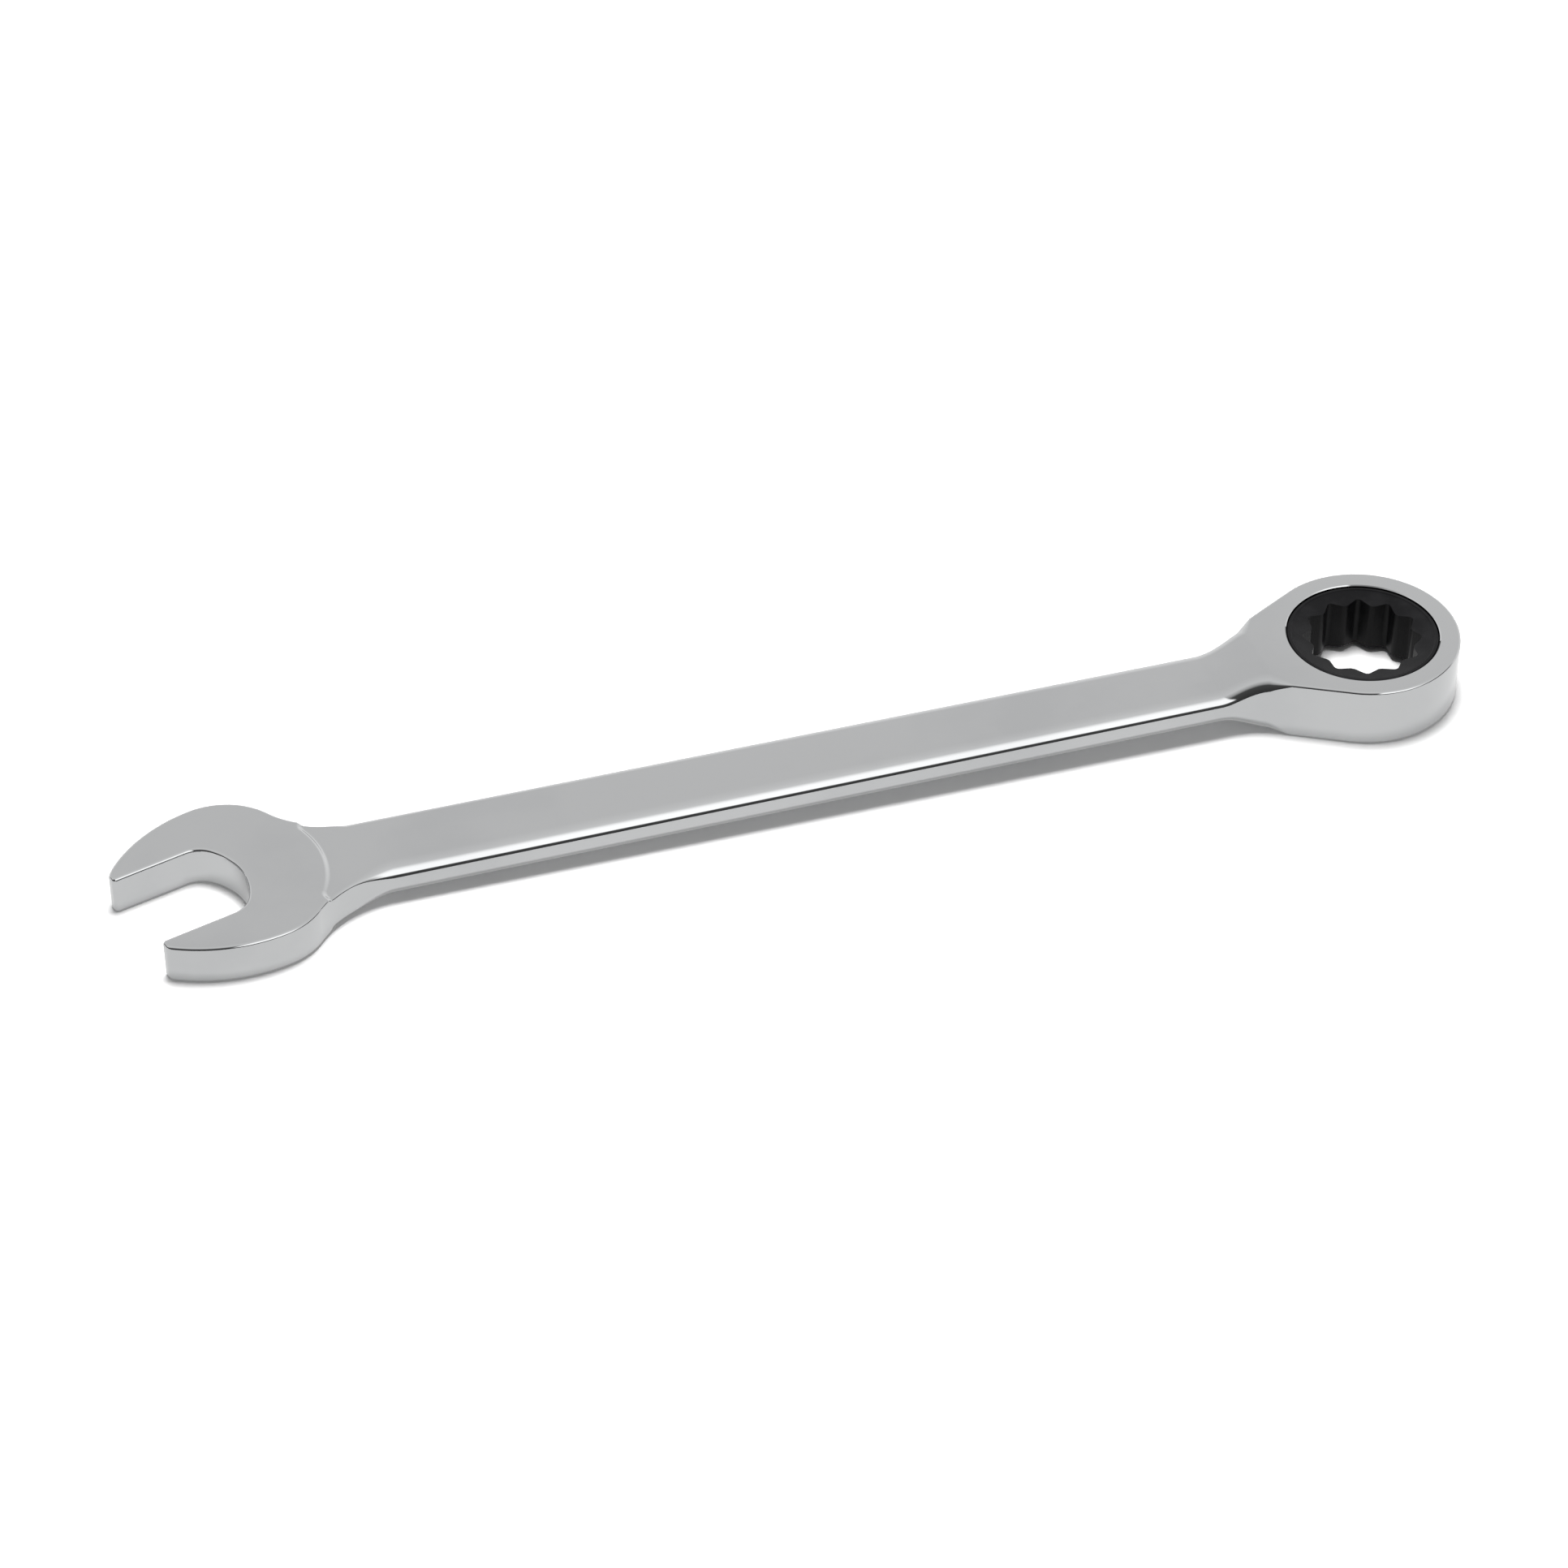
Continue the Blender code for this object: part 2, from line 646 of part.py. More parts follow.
def main():
    """Build the wrench."""
    fresh_scene()
    parts = new_collection("ratcheting_combination_wrench")
    cutters = new_collection("cutters")
    chrome = steel("polished_chrome", (0.62, 0.63, 0.64), 0.06)
    black = steel("black_oxide", (0.018, 0.018, 0.020), 0.38)
    spring_steel = steel("spring_steel", (0.36, 0.36, 0.37), 0.30)
    body = add_forging(chrome, parts)
    for cutter in (add_bore_cutter(cutters), add_pocket_cutter(cutters), add_spring_hole_cutter(cutters)):
        boolean(body, cutter)
    add_gear(black, parts, cutters)
    add_retaining_ring(spring_steel, parts)
    add_pawl(black, parts)
    add_spring(spring_steel, parts)


if __name__ == "__main__":
    main()
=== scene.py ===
"""Looks of a 13 mm ratcheting combination wrench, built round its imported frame.

The wrench lies flat. +X runs from the open end to the ring and +Z is up. Lengths are in metres and angles in
degrees.
"""

import json
import logging
import math
from collections.abc import Callable, Sequence
from dataclasses import dataclass
from enum import Enum

import bmesh
import bpy
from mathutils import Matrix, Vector
from mathutils.geometry import delaunay_2d_cdt

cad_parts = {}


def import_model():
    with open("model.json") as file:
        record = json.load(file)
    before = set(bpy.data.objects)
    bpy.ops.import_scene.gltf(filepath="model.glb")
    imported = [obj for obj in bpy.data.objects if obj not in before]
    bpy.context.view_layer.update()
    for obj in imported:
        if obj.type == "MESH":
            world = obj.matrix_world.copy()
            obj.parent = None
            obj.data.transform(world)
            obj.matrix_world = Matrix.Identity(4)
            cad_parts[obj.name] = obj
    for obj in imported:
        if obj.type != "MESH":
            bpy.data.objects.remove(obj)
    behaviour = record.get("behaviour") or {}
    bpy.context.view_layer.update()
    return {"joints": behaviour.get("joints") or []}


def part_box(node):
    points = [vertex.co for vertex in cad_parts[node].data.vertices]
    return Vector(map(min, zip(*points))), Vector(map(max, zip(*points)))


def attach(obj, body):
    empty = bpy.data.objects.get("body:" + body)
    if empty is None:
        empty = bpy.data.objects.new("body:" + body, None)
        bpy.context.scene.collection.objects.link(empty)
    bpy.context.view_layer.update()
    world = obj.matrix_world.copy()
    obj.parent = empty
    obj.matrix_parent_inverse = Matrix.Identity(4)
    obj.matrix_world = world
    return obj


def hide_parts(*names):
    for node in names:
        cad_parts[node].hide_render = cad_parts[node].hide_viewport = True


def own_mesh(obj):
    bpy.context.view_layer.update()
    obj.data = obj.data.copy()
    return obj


LOG = logging.getLogger("wrench")

Object = bpy.types.Object
Material = bpy.types.Material
Line = Sequence[Vector]
Triple = tuple[float, float, float]
Span = tuple[float, float]
Pairs = tuple[tuple[float, float], ...]

WHITE = (1.0, 1.0, 1.0, 1.0)
ACROSS_FLATS = 0.0131  # The slot and the gear's opening take the same nut.
SAME_PLACE = 1e-6  # Points closer than this are one point.
TURN_STEPS = 192  # The facets of a turned solid's full turn.


class Slot(Enum):
    """The material slots that the record names."""

    CHROME = "polished_chrome"
    BLACK = "black_oxide"
    SPRING = "spring_steel"


class Rides(Enum):
    """The bodies that pieces move with."""

    BODY = "body"
    GEAR = "gear"
    PAWL = "pawl"


# ---- Node graphs ----


class Signal:
    """An output socket that adds Math nodes when it is used in an expression."""

    def __init__(self, graph: "Graph", socket: bpy.types.NodeSocket) -> None:
        """Wrap a socket of a graph."""
        self.graph = graph
        self.socket = socket

    def __add__(self, other: "Signal | float") -> "Signal":
        """Add."""
        return self.graph.maths("ADD", self, other)

    def __radd__(self, other: float) -> "Signal":
        """Add to a number."""
        return self.graph.maths("ADD", other, self)

    def __sub__(self, other: "Signal | float") -> "Signal":
        """Subtract."""
        return self.graph.maths("SUBTRACT", self, other)

    def __rsub__(self, other: float) -> "Signal":
        """Subtract from a number."""
        return self.graph.maths("SUBTRACT", other, self)

    def __mul__(self, other: "Signal | float") -> "Signal":
        """Multiply."""
        return self.graph.maths("MULTIPLY", self, other)

    def __rmul__(self, other: float) -> "Signal":
        """Multiply a number."""
        return self.graph.maths("MULTIPLY", other, self)


class Graph:
    """The node tree of one material or world."""

    def __init__(self, tree: bpy.types.NodeTree) -> None:
        """Take a tree over, emptied."""
        self.tree = tree
        tree.nodes.clear()

    def add(
        self,
        kind: str,
        settings: dict[str, object] | None = None,
        sockets: dict[str | int, object] | None = None,
        output: str | int = 0,
    ) -> Signal:
        """Add a node.

        Args:
            kind: The node's type, after ShaderNode.
            settings: Its own settings, set first. "stops" gives a ramp's (position, grey) pairs.
            sockets: A value or a Signal for each named input.
            output: The output to return.

        Returns:
            The chosen output.
        """
        node = self.tree.nodes.new("ShaderNode" + kind)
        for name, value in (settings or {}).items():
            if name != "stops":
                setattr(node, name, value)
                continue
            elements = node.color_ramp.elements
            while len(elements) < len(value):
                elements.new(1.0)
            for element, (position, grey) in zip(elements, value):
                element.position = position
                element.color = (grey, grey, grey, 1.0)
        for name, value in (sockets or {}).items():
            if isinstance(value, Signal):
                self.tree.links.new(value.socket, node.inputs[name])
            else:
                node.inputs[name].default_value = value
        return Signal(self, node.outputs[output] if len(node.outputs) else node.inputs[0])

    def dress(self, sockets: dict[str, object]) -> None:
        """End a material's graph in a Principled shader with these sockets."""
        shader = self.add("BsdfPrincipled", None, sockets)
        self.add("OutputMaterial", None, {"Surface": shader})

    def maths(self, operation: str, first: Signal | float, second: Signal | float = 0.0) -> Signal:
        """Add a Math node."""
        return self.add("Math", {"operation": operation}, {0: first, 1: second})

    def rise(self, value: Signal, low: float, high: float) -> Signal:
        """Rise smoothly from 0 to 1 while a value goes from low to high."""
        settings = {"interpolation_type": "SMOOTHSTEP"}
        return self.add("MapRange", settings, {"Value": value, "From Min": low, "From Max": high})

    def along(self, direction: Signal, x: float, y: float) -> Signal:
        """Give how far a direction points along a level one."""
        sockets = {0: direction, 1: (x, y, 0.0)}
        return self.add("VectorMath", {"operation": "DOT_PRODUCT"}, sockets, "Value")

    def ray_is(self, kind: str) -> Signal:
        """Give 1 for rays of a kind, such as Camera, and 0 for all others."""
        return self.add("LightPath", output=f"Is {kind} Ray")

    def place(self) -> Signal:
        """Give the place on the piece, in metres."""
        return self.add("TexCoord", output="Object")

    def noise(self, place: Signal, scale: float, detail: float = 3.0) -> Signal:
        """Give a pattern from 0 to 1, by its waves a metre and its layers of finer waves."""
        sockets = {"Vector": place, "Scale": scale, "Detail": detail}
        return self.add("TexNoise", None, sockets)

    def blend(self, share: Signal, first: Sequence[float], second: Sequence[float]) -> Signal:
        """Mix two colours: a share of 0 gives the first one and 1 the second."""
        sockets = {"Factor": share, 6: (*first, 1.0), 7: (*second, 1.0)}
        return self.add("Mix", {"data_type": "RGBA"}, sockets, 2)

    def bump(self, height: Signal, strength: float, distance: float) -> Signal:
        """Turn a height pattern into a normal, by its strength and its depth in metres."""
        sockets = {"Height": height, "Strength": strength, "Distance": distance}
        return self.add("Bump", None, sockets, "Normal")


def new_material(name: str) -> tuple[Material, Graph]:
    """Make an empty node material.

    Args:
        name: Its name.

    Returns:
        The material and its graph.
    """
    material = bpy.data.materials.new(name)
    material.use_nodes = True
    return material, Graph(material.node_tree)


# ---- Finishes ----


@dataclass(frozen=True)
class PolishedChrome:
    """Bright chrome plate over polished steel, with faint hand marks and plating waviness."""

    color: Triple = (0.520, 0.526, 0.530)
    smudged_color: Triple = (0.490, 0.497, 0.502)
    roughness: float = 0.045
    smudge_roughness: float = 0.035
    smudge_scale: float = 55.0
    smudge_detail: float = 4.0
    smudge_range: Span = (0.45, 0.72)
    grain_roughness: float = 0.012
    grain_scale: float = 900.0
    grain_detail: float = 2.0
    wave_scale: float = 160.0
    wave_strength: float = 0.35
    wave_depth: float = 0.000004

    def make(self) -> Material:
        """Build the material."""
        material, graph = new_material("bright_chrome_plate")
        place = graph.place()
        smudge = graph.rise(graph.noise(place, self.smudge_scale, self.smudge_detail), *self.smudge_range)
        grain = graph.noise(place, self.grain_scale, self.grain_detail)
        waves = graph.noise(place, self.wave_scale)
        graph.dress(
            {
                "Base Color": graph.blend(smudge, self.color, self.smudged_color),
                "Metallic": 1.0,
                "Roughness": self.roughness + smudge * self.smudge_roughness + grain * self.grain_roughness,
                "Normal": graph.bump(waves, self.wave_strength, self.wave_depth),
            }
        )
        return material


@dataclass(frozen=True)
class BlackOxide:
    """Blackened steel under a film of oil, with the fine circles that turning leaves."""

    center_x: float
    color: Triple = (0.0032, 0.0032, 0.0038)
    worn_color: Triple = (0.0080, 0.0080, 0.0088)
    wear_range: Span = (0.4, 0.75)
    specular_level: float = 0.13
    roughness: float = 0.34
    mottle_roughness: float = 0.14
    mottle_scale: float = 420.0
    mottle_detail: float = 5.0
    mottle_height: float = 2.0
    circle_pitch: float = 0.00016
    circle_wander: float = 3.0
    circle_strength: float = 0.5
    circle_depth: float = 0.000006

    def make(self) -> Material:
        """Build the material."""
        material, graph = new_material("oiled_black_oxide")
        sockets = {"Vector": graph.place(), "Location": (-self.center_x, 0.0, 0.0)}
        centered = graph.add("Mapping", None, sockets)
        mottle = graph.noise(centered, self.mottle_scale, self.mottle_detail)
        flat = graph.add("VectorMath", {"operation": "MULTIPLY"}, {0: centered, 1: (1.0, 1.0, 0.0)})
        radius = graph.add("VectorMath", {"operation": "LENGTH"}, {0: flat}, "Value")
        turns = radius * (2 * math.pi / self.circle_pitch) + mottle * self.circle_wander
        relief = graph.maths("SINE", turns) + mottle * self.mottle_height
        graph.dress(
            {
                "Base Color": graph.blend(graph.rise(mottle, *self.wear_range), self.color, self.worn_color),
                "Metallic": 0.0,
                "Specular IOR Level": self.specular_level,
                "Roughness": self.roughness + mottle * self.mottle_roughness,
                "Normal": graph.bump(relief, self.circle_strength, self.circle_depth),
            }
        )
        return material


@dataclass(frozen=True)
class SpringSteel:
    """Plain hardened spring steel, drawn and lightly tumbled."""

    color: Triple = (0.30, 0.30, 0.31)
    dark_color: Triple = (0.20, 0.20, 0.21)
    roughness: float = 0.24
    mottle_roughness: float = 0.16
    mottle_scale: float = 700.0
    mottle_detail: float = 5.0
    mottle_range: Span = (0.35, 0.7)
    mottle_strength: float = 0.3
    mottle_depth: float = 0.000004

    def make(self) -> Material:
        """Build the material."""
        material, graph = new_material("tumbled_spring_steel")
        mottle = graph.noise(graph.place(), self.mottle_scale, self.mottle_detail)
        tone = graph.rise(mottle, *self.mottle_range)
        graph.dress(
            {
                "Base Color": graph.blend(tone, self.dark_color, self.color),
                "Metallic": 1.0,
                "Roughness": self.roughness + mottle * self.mottle_roughness,
                "Normal": graph.bump(mottle, self.mottle_strength, self.mottle_depth),
            }
        )
        return material


# ---- Plan geometry ----


def eased(share: float) -> float:
    """Ease a share from 0 to 1, slow at both ends."""
    return share * share * (3 - 2 * share)


def evenly(low: float, high: float, count: int) -> list[float]:
    """Give evenly spaced values, both ends included."""
    return [low + (high - low) * i / (count - 1) for i in range(count)]


def ramped(value: float, low: float, high: float) -> float:
    """Rise evenly from 0 at low to 1 at high."""
    return min(max((value - low) / (high - low), 0.0), 1.0)


def smoothed(value: float, low: float, high: float) -> float:
    """Rise smoothly from 0 at low to 1 at high."""
    return eased(ramped(value, low, high))


def on_circle(center: Sequence[float], radius: float, angle: float) -> Vector:
    """Give the point of a circle in plan at an angle."""
    turn = math.radians(angle)
    return Vector((center[0] + radius * math.cos(turn), center[1] + radius * math.sin(turn)))


def arc(center: Sequence[float], radius: float, start: float, end: float, step: float = 2.5) -> list[Vector]:
    """Give an arc's points, its middle among them, crowded at both ends so that shading runs on flat."""
    count = 2 * max(3, math.ceil(abs(end - start) / step / 2))
    return [on_circle(center, radius, start + (end - start) * eased(i)) for i in evenly(0, 1, count + 1)]


def square_back(back: float, half_width: float, corner: float) -> list[Vector]:
    """Give the two rounded corners of a block's back, the far one first."""
    corners = ((half_width - corner, 90), (corner - half_width, 180))
    return [point for y, turn in corners for point in arc((back + corner, y), corner, turn, turn + 90, 15)]


def heading(start: Sequence[float], end: Sequence[float]) -> float:
    """Give the angle of the line from start to end."""
    return math.degrees(math.atan2(end[1] - start[1], end[0] - start[0]))


def without_repeats(points: Line) -> list[Vector]:
    """Drop each point of a closed outline that repeats the one before it."""
    kept: list[Vector] = []
    for point in points:
        if not kept or (point - kept[-1]).length > SAME_PLACE:
            kept.append(point)
    if (kept[0] - kept[-1]).length < SAME_PLACE:
        kept.pop()
    return kept


def inside(line: Line, rim: Line, margin: float) -> list[Vector]:
    """Keep the points of a line that lie inside a closed rim, clear of it.

    Args:
        line: The points.
        rim: The closed rim.
        margin: The least distance to the rim.

    Returns:
        The points kept.
    """
    kept = []
    sides = list(zip(rim, [*rim[1:], rim[0]]))
    for point in line:
        crossings = 0
        nearest = math.inf
        for a, b in sides:
            nearest = min(nearest, (point - a).length)
            if (a.y > point.y) != (b.y > point.y):
                crossings += point.x < a.x + (b.x - a.x) * (point.y - a.y) / (b.y - a.y)
        if crossings % 2 and nearest > margin:
            kept.append(point)
    return kept


# ---- Work on meshes ----


def to_object_mode() -> None:
    """Leave edit mode and select nothing."""
    if bpy.context.mode != "OBJECT":
        bpy.ops.object.mode_set(mode="OBJECT")
    bpy.ops.object.select_all(action="DESELECT")


def select_only(obj: Object) -> None:
    """Make an object the only one selected, and active."""
    to_object_mode()
    obj.select_set(True)
    bpy.context.view_layer.objects.active = obj


def edit(obj: Object) -> None:
    """Open an object's mesh in edit mode, with all of it selected."""
    select_only(obj)
    bpy.ops.object.mode_set(mode="EDIT")
    bpy.ops.mesh.select_all(action="SELECT")


def face_outwards() -> None:
    """Turn all faces of the mesh in edit mode outwards, and leave edit mode."""
    bpy.ops.mesh.select_all(action="SELECT")
    bpy.ops.mesh.normals_make_consistent(inside=False)
    to_object_mode()


def start_from(primitive: Callable[..., object], name: str, **settings: object) -> Object:
    """Add a primitive with nothing else selected, at the origin if no location is given.

    Args:
        primitive: The operator that adds it.
        name: The object's name.
        settings: The operator's own settings.

    Returns:
        The new object.
    """
    to_object_mode()
    primitive(**{"location": (0, 0, 0), **settings})
    obj = bpy.context.object
    obj.name = obj.data.name = name
    return obj


def open_loop(name: str, places: Line) -> Object:
    """Add a circle and move its vertices to a closed line of places.

    Args:
        name: The object's name.
        places: A place for each vertex, in order.

    Returns:
        The object, in edit mode with its whole loop selected. Each vertex keeps its number in "station".
    """
    obj = start_from(bpy.ops.mesh.primitive_circle_add, name, vertices=len(places))
    edit(obj)
    mesh = bmesh.from_edit_mesh(obj.data)
    station = mesh.verts.layers.int.new("station")
    mesh.verts.ensure_lookup_table()
    for number, (vert, place) in enumerate(zip(mesh.verts, places)):
        vert[station] = number
        vert.co = place
    bmesh.update_edit_mesh(obj.data)
    return obj


def extrude_to(obj: Object, places: Line, level: int) -> None:
    """Extrude the selected loop and move the new one to a line of places.

    Args:
        obj: The object, in edit mode.
        places: A place for each station.
        level: The number that the new loop keeps in "level".
    """
    bpy.ops.mesh.extrude_region_move()
    mesh = bmesh.from_edit_mesh(obj.data)
    station = mesh.verts.layers.int["station"]
    height = mesh.verts.layers.int["level"]
    for vert in mesh.verts:
        if vert.select:
            vert.co = places[vert[station]]
            vert[height] = level
    bmesh.update_edit_mesh(obj.data)


def prism(name: str, outline: Line, low: float, high: float) -> Object:
    """Fill a plan outline and extrude it upwards.

    Args:
        name: The object's name.
        outline: Its points in plan.
        low: The height of its underside.
        high: The height of its top.

    Returns:
        The closed prism.
    """
    obj = open_loop(name, [Vector((p.x, p.y, low)) for p in outline])
    bpy.ops.mesh.edge_face_add()
    bpy.ops.mesh.extrude_region_move(TRANSFORM_OT_translate={"value": (0, 0, high - low)})
    face_outwards()
    return obj


def turned(name: str, profile: Sequence[Span], center_x: float) -> Object:
    """Extrude a vertex along a profile and spin it about an upright axis.

    Args:
        name: The object's name.
        profile: (radius, height) pairs, from the axis out and back to the axis.
        center_x: The axis's place along X.

    Returns:
        The closed turned solid.
    """
    obj = start_from(bpy.ops.mesh.primitive_plane_add, name)
    edit(obj)
    bpy.ops.mesh.merge(type="CENTER")
    places = [Vector((center_x + radius, 0, height)) for radius, height in profile]
    bpy.ops.transform.translate(value=places[0])
    for before, after in zip(places, places[1:]):
        bpy.ops.mesh.extrude_vertices_move(TRANSFORM_OT_translate={"value": after - before})
    bpy.ops.mesh.select_all(action="SELECT")
    bpy.ops.mesh.spin(steps=TURN_STEPS, angle=2 * math.pi, center=(center_x, 0, 0), axis=(0, 0, 1))
    bpy.ops.mesh.select_all(action="SELECT")
    bpy.ops.mesh.remove_doubles(threshold=SAME_PLACE)
    face_outwards()
    return obj


def combine(obj: Object, other: Object, operation: str = "DIFFERENCE") -> None:
    """Cut or join with another solid, which is used up.

    Args:
        obj: The solid that stays.
        other: The cutter, or the solid to join.
        operation: The Boolean's operation.
    """
    select_only(obj)
    modifier = obj.modifiers.new(operation.lower(), "BOOLEAN")
    modifier.operation = operation
    modifier.solver = "EXACT"
    modifier.object = other
    bpy.ops.object.modifier_apply(modifier=modifier.name)
    bpy.data.objects.remove(other, do_unlink=True)


def soften(obj: Object, width: float, segments: int, angle: float) -> None:
    """Round an object's sharp edges.

    Args:
        obj: The object.
        width: The rounding's width.
        segments: Its facets.
        angle: The least angle between faces that counts as sharp.
    """
    select_only(obj)
    modifier = obj.modifiers.new("softened_edges", "BEVEL")
    modifier.width = width
    modifier.segments = segments
    modifier.limit_method = "ANGLE"
    modifier.angle_limit = math.radians(angle)
    bpy.ops.object.modifier_apply(modifier=modifier.name)


def shade(obj: Object, angle: float) -> None:
    """Shade smooth, apart from edges sharper than an angle, and apply the object's place."""
    select_only(obj)
    bpy.ops.object.transform_apply()
    bpy.ops.object.shade_smooth_by_angle(angle=math.radians(angle))
    to_object_mode()


def hand_over(obj: Object, node: str, body: Rides, material: Material) -> Object:
    """Dress a finished piece and let it stand for its CAD node.

    Args:
        obj: The piece.
        node: The CAD node that it replaces.
        body: The body that it rides on.
        material: Its material.

    Returns:
        The piece.
    """
    obj.data.materials.clear()
    obj.data.materials.append(material)
    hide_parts(node)
    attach(obj, body.value)
    return obj


# ---- The forging ----


@dataclass
class Forging:
    """The one-piece forging: open end, shank, neck and ring, with the stepped bore that holds the gear.

    The open end has axes of its own: s runs along the slot away from its mouth, and n runs across it.
    """

    ring_x: float
    mid_height: float = 0.00415
    shank_width: float = 0.0108
    shank_thickness: float = 0.0045
    ring_thickness: float = 0.0083
    jaw_thickness: float = 0.0054
    shank_edge: float = 0.0021
    ring_edge: float = 0.0004
    jaw_edge: float = 0.00045
    edge_steps: int = 16

    ring_radius: float = 0.0127
    neck_taper: float = 28.0
    neck_fillet: float = 0.012
    ramp_reach: Span = (0.0216, 0.0146)
    runout_reach: Span = (0.0154, 0.0130)
    neck_end: float = 0.0222
    neck_stations: int = 91

    jaw_offset: float = 15.0
    jaw_reach: float = 0.1502
    jaw_half_width: float = 0.01355
    crown_s: float = 0.0003
    hip_radius: float = 0.00895
    front_radius: float = 0.0203
    tip_s: float = -0.0136
    tip_radius: float = 0.0013
    tip_edge: float = 0.0005
    throat_s: float = 0.0007
    throat_radius: float = 0.0087
    throat_corner: float = 0.0035
    far_fillet: float = 0.0110
    near_fillet: float = 0.0137
    disc_s: float = -0.0026
    disc_radius: float = 0.01355
    disc_spread: float = 0.0030
    spread_reach: Span = (0.0060, 0.0105)
    disc_step: float = 0.0008
    jaw_runout_reach: Span = (0.1375, 0.1310)

    ramp_lines: int = 45
    ramp_line_points: int = 80
    step_lines: int = 13
    step_line_points: int = 400
    step_line_turn: Span = (-70.0, 80.0)
    contour_rounds: int = 40
    flat_guard: float = 0.0003
    rim_margin: float = 0.00012

    lip_radius: float = 0.0100
    lip_underside: float = 0.0071
    bore_radius: float = 0.0112
    bore_chamfer: float = 0.00012
    groove_radius: float = 0.0120
    groove_low: float = 0.00045
    groove_high: float = 0.00135
    cut_past: float = 0.0005

    pocket_front: float = 0.00896
    pocket_back: float = 0.0161
    pocket_half_width: float = 0.0039
    pocket_corner: float = 0.0006
    pocket_low: float = 0.0023
    pocket_high: float = 0.0060
    spring_hole_radius: float = 0.0013
    spring_hole_start: float = 0.0153
    spring_hole_end: float = 0.0203

    def before_ring(self, reach: Sequence[float]) -> tuple[float, ...]:
        """Turn distances back from the ring's middle into places along X."""
        return tuple(self.ring_x - distance for distance in reach)

    def from_jaw(self, s: float, n: float) -> Vector:
        """Turn a point in the open end's own axes into one in plan."""
        turn = math.radians(self.jaw_offset)
        along = Vector((math.cos(turn), math.sin(turn)))
        across = Vector((-math.sin(turn), math.cos(turn)))
        return Vector((self.ring_x - self.jaw_reach, 0)) + along * s + across * n

    def half_width(self, x: float) -> float:
        """Give half the width of the neck and shank at x: straight shank, fillet, then straight taper."""
        slope = math.radians(self.neck_taper)
        touch = on_circle((self.ring_x, 0), self.ring_radius, 90 + self.neck_taper)
        corner_x = touch.x - (touch.y - self.shank_width / 2) / math.tan(slope)
        reach = self.neck_fillet * math.tan(slope / 2)
        if x >= corner_x + reach * math.cos(slope):
            return touch.y - (touch.x - x) * math.tan(slope)
        into_fillet = max(x - (corner_x - reach), 0.0)
        return self.shank_width / 2 + self.neck_fillet - math.sqrt(self.neck_fillet**2 - into_fillet**2)

    def neck(self) -> list[Vector]:
        """Give the far side of the neck, from the ring's disc to the shank."""
        start = on_circle((self.ring_x, 0), self.ring_radius, 90 + self.neck_taper).x
        stations = evenly(start, self.ring_x - self.neck_end, self.neck_stations)
        return [Vector((x, self.half_width(x))) for x in stations]

    def tip(self) -> list[Vector]:
        """Give the far jaw's tip in the open end's axes, from its outer side round to the slot's face."""
        front_n = self.jaw_half_width - self.front_radius
        tip_s = self.tip_s + self.tip_radius
        reach = self.front_radius - self.tip_radius
        tip_n = front_n + math.sqrt(reach**2 - (tip_s - self.crown_s) ** 2)
        turn = heading((self.crown_s, front_n), (tip_s, tip_n))
        edge = (self.tip_s + self.tip_edge, ACROSS_FLATS / 2 + self.tip_edge)
        return [
            *arc((self.crown_s, front_n), self.front_radius, 90, turn, step=1.6),
            *arc((tip_s, tip_n), self.tip_radius, turn, 180, step=6),
            *arc(edge, self.tip_edge, 180, 270, step=10),
        ]

    def throat(self) -> list[Vector]:
        """Give the slot's end in the open end's axes, from the far face round to its middle."""
        bottom_s = self.throat_s - self.throat_radius
        corner_n = ACROSS_FLATS / 2 - self.throat_corner
        corner_s = bottom_s + math.sqrt((self.throat_radius - self.throat_corner) ** 2 - corner_n**2)
        turn = heading((bottom_s, 0), (corner_s, corner_n))
        half = arc((bottom_s, 0), self.throat_radius, turn, -turn)
        corner = arc((corner_s, corner_n), self.throat_corner, 90, turn, step=4)
        return [*corner, *half[: len(half) // 2 + 1]]

    def hip(self, side: int) -> list[Vector]:
        """Give the outline from the shank's edge to the jaw's crown.

        Args:
            side: 1 for the far side and -1 for the near side.

        Returns:
            The points in plan.
        """
        hip = self.from_jaw(self.crown_s, side * (self.jaw_half_width - self.hip_radius))
        fillet = self.far_fillet if side > 0 else self.near_fillet
        rise = self.shank_width / 2 + fillet - side * hip.y
        center = Vector((hip.x + math.sqrt((self.hip_radius + fillet) ** 2 - rise**2), 0))
        center.y = side * (self.shank_width / 2 + fillet)
        meets = heading(hip, center)
        return [
            *arc(center, fillet, -90 * side, meets - 180 * side, step=1.1),
            *arc(hip, self.hip_radius, meets, 90 * side + self.jaw_offset, step=2),
        ]

    def outline(self) -> list[Vector]:
        """Give the plan outline, anticlockwise from the ring's near side."""
        neck = self.neck()
        jaw = [*self.tip(), *self.throat()]
        ring = 90 + self.neck_taper
        return without_repeats(
            [
                *arc((self.ring_x, 0), self.ring_radius, -ring, ring, step=2),
                *neck,
                *self.hip(1),
                *[self.from_jaw(p.x, p.y) for p in jaw],
                *[self.from_jaw(p.x, -p.y) for p in reversed(jaw)],
                *reversed(self.hip(-1)),
                *[Vector((p.x, -p.y)) for p in reversed(neck)],
            ]
        )

    def spread(self, across: float) -> float:
        """Give how much the jaw's raised disc is widened at a distance across the tool from its middle."""
        return self.disc_spread * smoothed(abs(across), *self.spread_reach)

